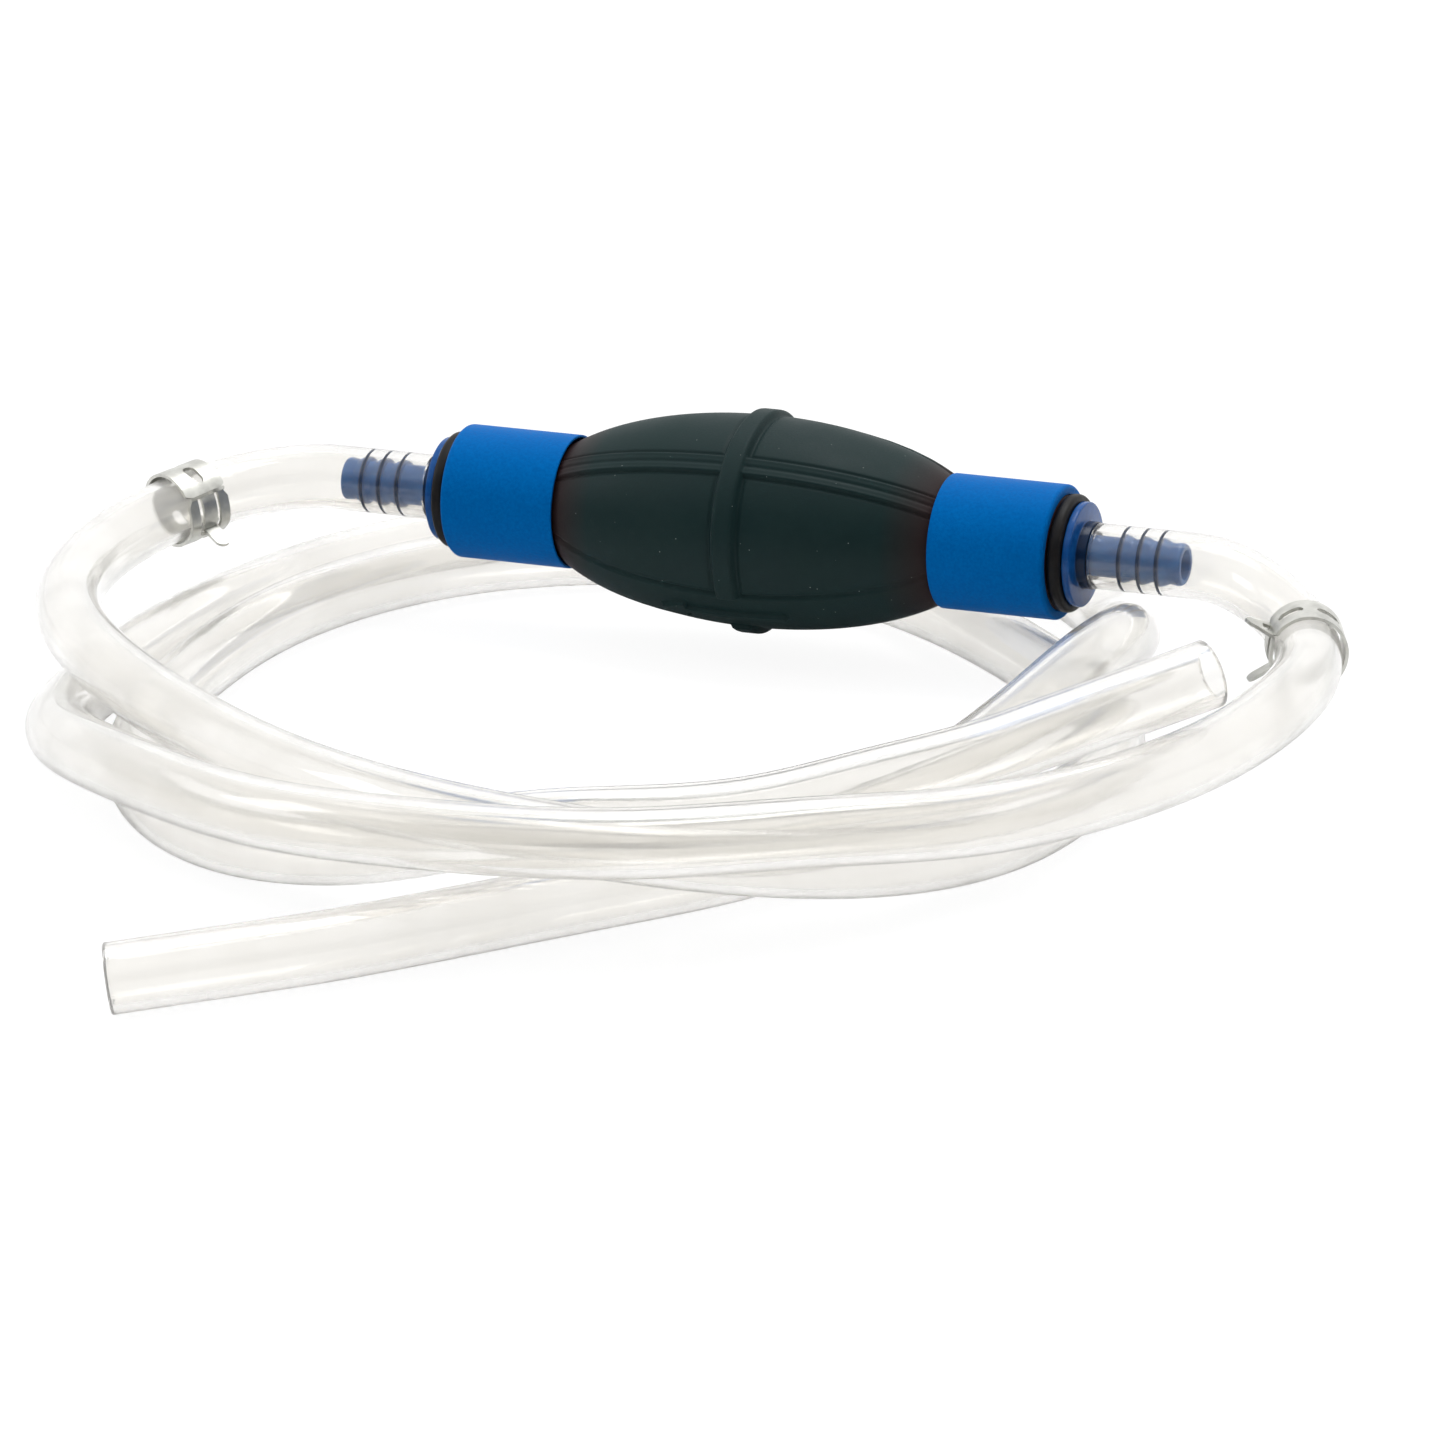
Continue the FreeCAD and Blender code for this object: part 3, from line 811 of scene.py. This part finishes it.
TONGUE_END = EAR_ANGLE - 10  # here the tongue starts to widen
WIDENING = 12.0  # angle over which it does so
FORK = 6.0  # angle from the last slot to the fork between the rails
FORK_ROUND = 16.0  # angle over which the fork's root is rounded
RAIL_BOW = 0.25  # the rails bow out and in by this much
RAIL_TAPER = 1.0  # towards their ear they get narrower by this much
EAR_LENGTH = 7.0
EAR_HALF = (5.0, 2.25)  # of the ear on the rails, at its foot and at its tip


def clip_stations():
    """Stations of a clip's strip from the tongue's tip to the rails' ear.

    Each has its place and outward side in the clip's plane, outer and inner half-widths, and
    whether the middle is open between the inner ones.
    """
    out = []

    def on_circle(angle, outer, inner, is_open, lift=0.0):
        a = math.radians(angle)
        side = np.array((math.cos(a), math.sin(a)))
        out.append(((CLIP_R + lift) * side, side, outer, inner, is_open))

    def ear(angle, outward, halves, slit):
        """Stations of an ear, from its foot to its rounded tip, or the other way round."""
        a = math.radians(angle)
        way = np.array((math.cos(a), math.sin(a)))
        foot = CLIP_R * way
        side = np.array((way[1], -way[0])) if outward else np.array((-way[1], way[0]))
        rows = []
        tip = halves[1]
        reach = EAR_LENGTH - tip
        for t in np.linspace(0.10, 1, 9):
            half = halves[0] + (tip - halves[0]) * t
            is_open = t * reach < 2.4 and slit > 1
            rows.append((foot + way * reach * t, side, half, min(slit, half * 0.5), is_open))
        for t in np.linspace(0.15, 0.98, 8):
            half = tip * math.sqrt(1 - t * t)
            rows.append((foot + way * (reach + tip * t), side, half, half * 0.5, False))
        return rows if outward else rows[::-1]

    out.extend(ear(TONGUE_EAR, False, (TONGUE_HALF, TONGUE_HALF), SEAM))
    for angle in np.linspace(-TONGUE_END, TONGUE_END, 20):
        on_circle(angle, TONGUE_HALF, SEAM, False)
    for t in np.linspace(0.1, 1, 10):
        smooth = t * t * (3 - 2 * t)
        half = TONGUE_HALF + (CLIP_HALF - TONGUE_HALF) * smooth
        on_circle(TONGUE_END + WIDENING * t, half, SEAM, False)
    reached = TONGUE_END + WIDENING
    round_end = math.degrees(SLOT_HALF / CLIP_R)
    for centre in SLOT_CENTRES:
        first, last = centre - SLOT_RUN / 2, centre + SLOT_RUN / 2
        for angle in np.arange(reached + 3, first - 1, 3):
            on_circle(angle, CLIP_HALF, SEAM, False)
        for u in ROUND_STEPS[::-1]:
            on_circle(first + round_end * (1 - u), CLIP_HALF, SLOT_HALF * math.sqrt(1 - u * u), True)
        for angle in np.linspace(first + round_end, last - round_end, 9):
            on_circle(angle, CLIP_HALF, SLOT_HALF, True)
        for u in ROUND_STEPS:
            is_open = u < ROUND_STEPS[-1]
            on_circle(last - round_end * (1 - u), CLIP_HALF, SLOT_HALF * math.sqrt(1 - u * u), is_open)
        reached = last
    fork = reached + FORK
    for angle in (reached + FORK / 2, fork - 0.5):
        on_circle(angle, CLIP_HALF, SEAM, False)
    last = 360 - TONGUE_EAR
    for t in np.linspace(0, 1, 40):
        angle = fork + (last - fork) * t
        grow = min((angle - fork) / FORK_ROUND, 1.0)
        inner = SEAM + (RAIL_INNER - SEAM) * math.sqrt(1 - (1 - grow) ** 2)
        narrower = RAIL_TAPER * max(t - 0.85, 0) / 0.15
        on_circle(angle, CLIP_HALF - narrower, inner, True, RAIL_BOW * math.sin(2 * math.pi * t))
    out.extend(ear(RAILS_EAR, True, EAR_HALF, RAIL_INNER))
    return out


def clip_strip():
    """Points and faces of the closed skin of a clip's strip, in the clip's own frame."""
    stations = clip_stations()
    verts, faces = [], []
    for place, side, outer, inner, _ in stations:
        for z in (-outer, -inner, inner, outer):
            for level in (-CLIP_THICK / 2, CLIP_THICK / 2):
                verts.append((*(place + side * level), z))

    def corner(station, line, level):
        return station * 8 + line * 2 + level

    def wall(station, line):
        faces.append((corner(station, line, 0), corner(station + 1, line, 0),
                      corner(station + 1, line, 1), corner(station, line, 1)))

    def end(station, cell):
        faces.append((corner(station, cell, 0), corner(station, cell, 1),
                      corner(station, cell + 1, 1), corner(station, cell + 1, 0)))

    last = len(stations) - 1
    for i in range(last):
        is_open = stations[i][4]
        for cell in range(3):
            if cell == 1 and is_open:
                continue
            for level in (0, 1):
                faces.append((corner(i, cell, level), corner(i + 1, cell, level),
                              corner(i + 1, cell + 1, level), corner(i, cell + 1, level)))
        for line in ((0, 1, 2, 3) if is_open else (0, 3)):
            wall(i, line)
        if i > 0 and is_open != stations[i - 1][4]:
            end(i, 1)
    for cell in range(3):
        end(0, cell)
        end(last, cell)
    return np.array(verts), faces


def nearest_on(path, point):
    """Place on a path nearest to a point, and the path's direction there."""
    steps = np.diff(path, axis=0)
    share = np.clip(np.sum((point - path[:-1]) * steps, axis=1) / np.sum(steps**2, axis=1), 0, 1)
    places = path[:-1] + steps * share[:, None]
    i = int(np.argmin(np.linalg.norm(places - point, axis=1)))
    ways = frames_along(path)[0]
    way = ways[i] + (ways[i + 1] - ways[i]) * share[i]
    return places[i], way / np.linalg.norm(way)


def band_clip(name, material, skin):
    """One clip, set on its hose."""
    near, facing, ears_to = CLIPS[name]
    path, _ = hose_path(name)
    centre, way = nearest_on(path, near)
    along = facing * way
    across = ears_to - along * np.dot(ears_to, along)
    across /= np.linalg.norm(across)
    verts = centre + skin[0] @ np.stack((across, np.cross(along, across), along))
    obj = add_mesh(name + "_band_clip", verts, skin[1], material, name + "_clip_body")
    smooth_by_angle(obj)
    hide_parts(name + "_clip")


# ---------------------------------------------------------------- CAD nodes that stay

CAD_FINISH = {
    "valve_seat": valve_plastic,
    "valve_poppet": valve_plastic,
    "valve_cage": valve_plastic,
    "valve_seal": ring_rubber,
}


def finish_cad_nodes():
    """Give the CAD nodes that stay their better materials, with smooth shading."""
    made = {}
    for ending, finish in CAD_FINISH.items():
        if finish not in made:
            made[finish] = finish()
        for end in ("inlet", "outlet"):
            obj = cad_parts[end + "_" + ending]
            obj.data.materials.clear()
            obj.data.materials.append(made[finish])
            smooth_by_angle(obj)


# ---------------------------------------------------------------- studio

CAMERA_AZIMUTH = 22.0
CAMERA_HEIGHT_ANGLE = 16.0
CAMERA_DISTANCE = 2600.0
SENSOR_WIDTH = 36.0
VIEW_WIDTH = 352.58  # seen across the whole picture at the bulb's distance
AIM_LEFT = 9.638  # of the bulb's middle
AIM_BELOW = 49.166


def camera():
    """Long-lens camera that looks a little down on the coil from its right-hand front."""
    az, el = math.radians(CAMERA_AZIMUTH), math.radians(CAMERA_HEIGHT_ANGLE)
    view = np.array((-math.sin(az) * math.cos(el), math.cos(az) * math.cos(el), -math.sin(el)))
    right = np.array((math.cos(az), math.sin(az), 0.0))
    up = np.cross(right, view)
    bulb = BULB_PLACE + (0, 0, AXIS_Z)
    place = bulb - view * CAMERA_DISTANCE - right * AIM_LEFT - up * AIM_BELOW
    data = bpy.data.cameras.new("camera")
    data.sensor_width = SENSOR_WIDTH
    data.lens = SENSOR_WIDTH * CAMERA_DISTANCE / VIEW_WIDTH
    data.clip_start, data.clip_end = 0.05, 60.0
    obj = bpy.data.objects.new("camera", data)
    obj.location = Vector(place * MM)
    obj.rotation_euler = Vector(view).to_track_quat("-Z", "Y").to_euler()
    bpy.context.scene.collection.objects.link(obj)
    bpy.context.scene.camera = obj


def area_light(name, place, aim, size, power):
    """Soft square lamp that points at aim; places are in metres."""
    data = bpy.data.lights.new(name, "AREA")
    data.shape = "SQUARE"
    data.size = size
    data.energy = power
    obj = bpy.data.objects.new(name, data)
    obj.location = place
    obj.rotation_euler = (Vector(aim) - Vector(place)).to_track_quat("-Z", "Y").to_euler()
    bpy.context.scene.collection.objects.link(obj)


TENT_UP = 0.9  # how far the bright side of the tent leans up
TENT_BACK = 0.5  # how far it leans away from the camera
TENT_EDGE = (-0.15, 0.45)  # where it changes from dim to full
DIM_LIGHT = 0.16
DIM_THROUGH_HOSES = 0.66
FULL_LIGHT = 1.1


def tent():
    """World light: bright above and behind, dim on the camera's side; brighter through the hoses."""
    world = bpy.data.worlds.new("tent")
    bpy.context.scene.world = world
    world.use_nodes = True
    tree = world.node_tree
    direction = tree.nodes.new("ShaderNodeTexCoord").outputs["Generated"]
    az = math.radians(CAMERA_AZIMUTH)
    toward = tree.nodes.new("ShaderNodeVectorMath")
    toward.operation = "DOT_PRODUCT"
    toward.inputs[1].default_value = (-TENT_BACK * math.sin(az), TENT_BACK * math.cos(az), TENT_UP)
    tree.links.new(direction, toward.inputs[0])
    rays = tree.nodes.new("ShaderNodeLightPath")

    def fade(dim):
        node = tree.nodes.new("ShaderNodeMapRange")
        node.interpolation_type = "SMOOTHSTEP"
        node.inputs["From Min"].default_value, node.inputs["From Max"].default_value = TENT_EDGE
        node.inputs["To Min"].default_value = dim
        node.inputs["To Max"].default_value = FULL_LIGHT
        tree.links.new(toward.outputs["Value"], node.inputs["Value"])
        return node.outputs["Result"]

    def choose(ray, otherwise):
        node = tree.nodes.new("ShaderNodeMix")
        tree.links.new(rays.outputs[ray], node.inputs[0])
        tree.links.new(otherwise, node.inputs[2])
        return node

    through = choose("Is Transmission Ray", fade(DIM_LIGHT))
    tree.links.new(fade(DIM_THROUGH_HOSES), through.inputs[3])
    seen = choose("Is Camera Ray", through.outputs[0])
    seen.inputs[3].default_value = 1.0
    tree.links.new(seen.outputs[0], tree.nodes["Background"].inputs["Strength"])
    tree.nodes["Background"].inputs["Color"].default_value = (1, 1, 1, 1)


FLOOR_REACH = 9000.0
FLOOR_Z = -0.3


def studio():
    """White floor, light tent and two soft lamps."""
    verts = [(x * FLOOR_REACH, y * FLOOR_REACH, FLOOR_Z) for x, y in ((-1, -1), (1, -1), (1, 1), (-1, 1))]
    add_mesh("studio_floor", verts, [(0, 1, 2, 3)], floor_paint(), None, smooth=False)
    tent()
    area_light("top_softbox", (0.044, 0.362, 1.3), aim=(-0.006, 0.032, 0.0), size=0.7, power=8)
    area_light("left_softbox", (-1.306, -0.388, 0.9), aim=(-0.006, 0.012, 0.03), size=0.5, power=3)
    bpy.context.scene.view_settings.view_transform = "Standard"


# ---------------------------------------------------------------- build

squeeze_bulb()
collar_blue = collar_plastic()
ring_black = ring_rubber()
navy = fitting_plastic()
clear = (hose_plastic(), unseen_cut())
steel = clip_steel()
bright_wire = spring_wire()
clip_skin = clip_strip()
for end_name, (bulb_side, *_) in HOSES.items():
    collar(end_name, bulb_side, collar_blue)
    seal_ring(end_name, bulb_side, ring_black)
    fitting(end_name, bulb_side, navy)
    hose(end_name, clear)
    valve_spring(end_name, bulb_side, bright_wire)
    band_clip(end_name, steel, clip_skin)
finish_cad_nodes()
studio()
camera()
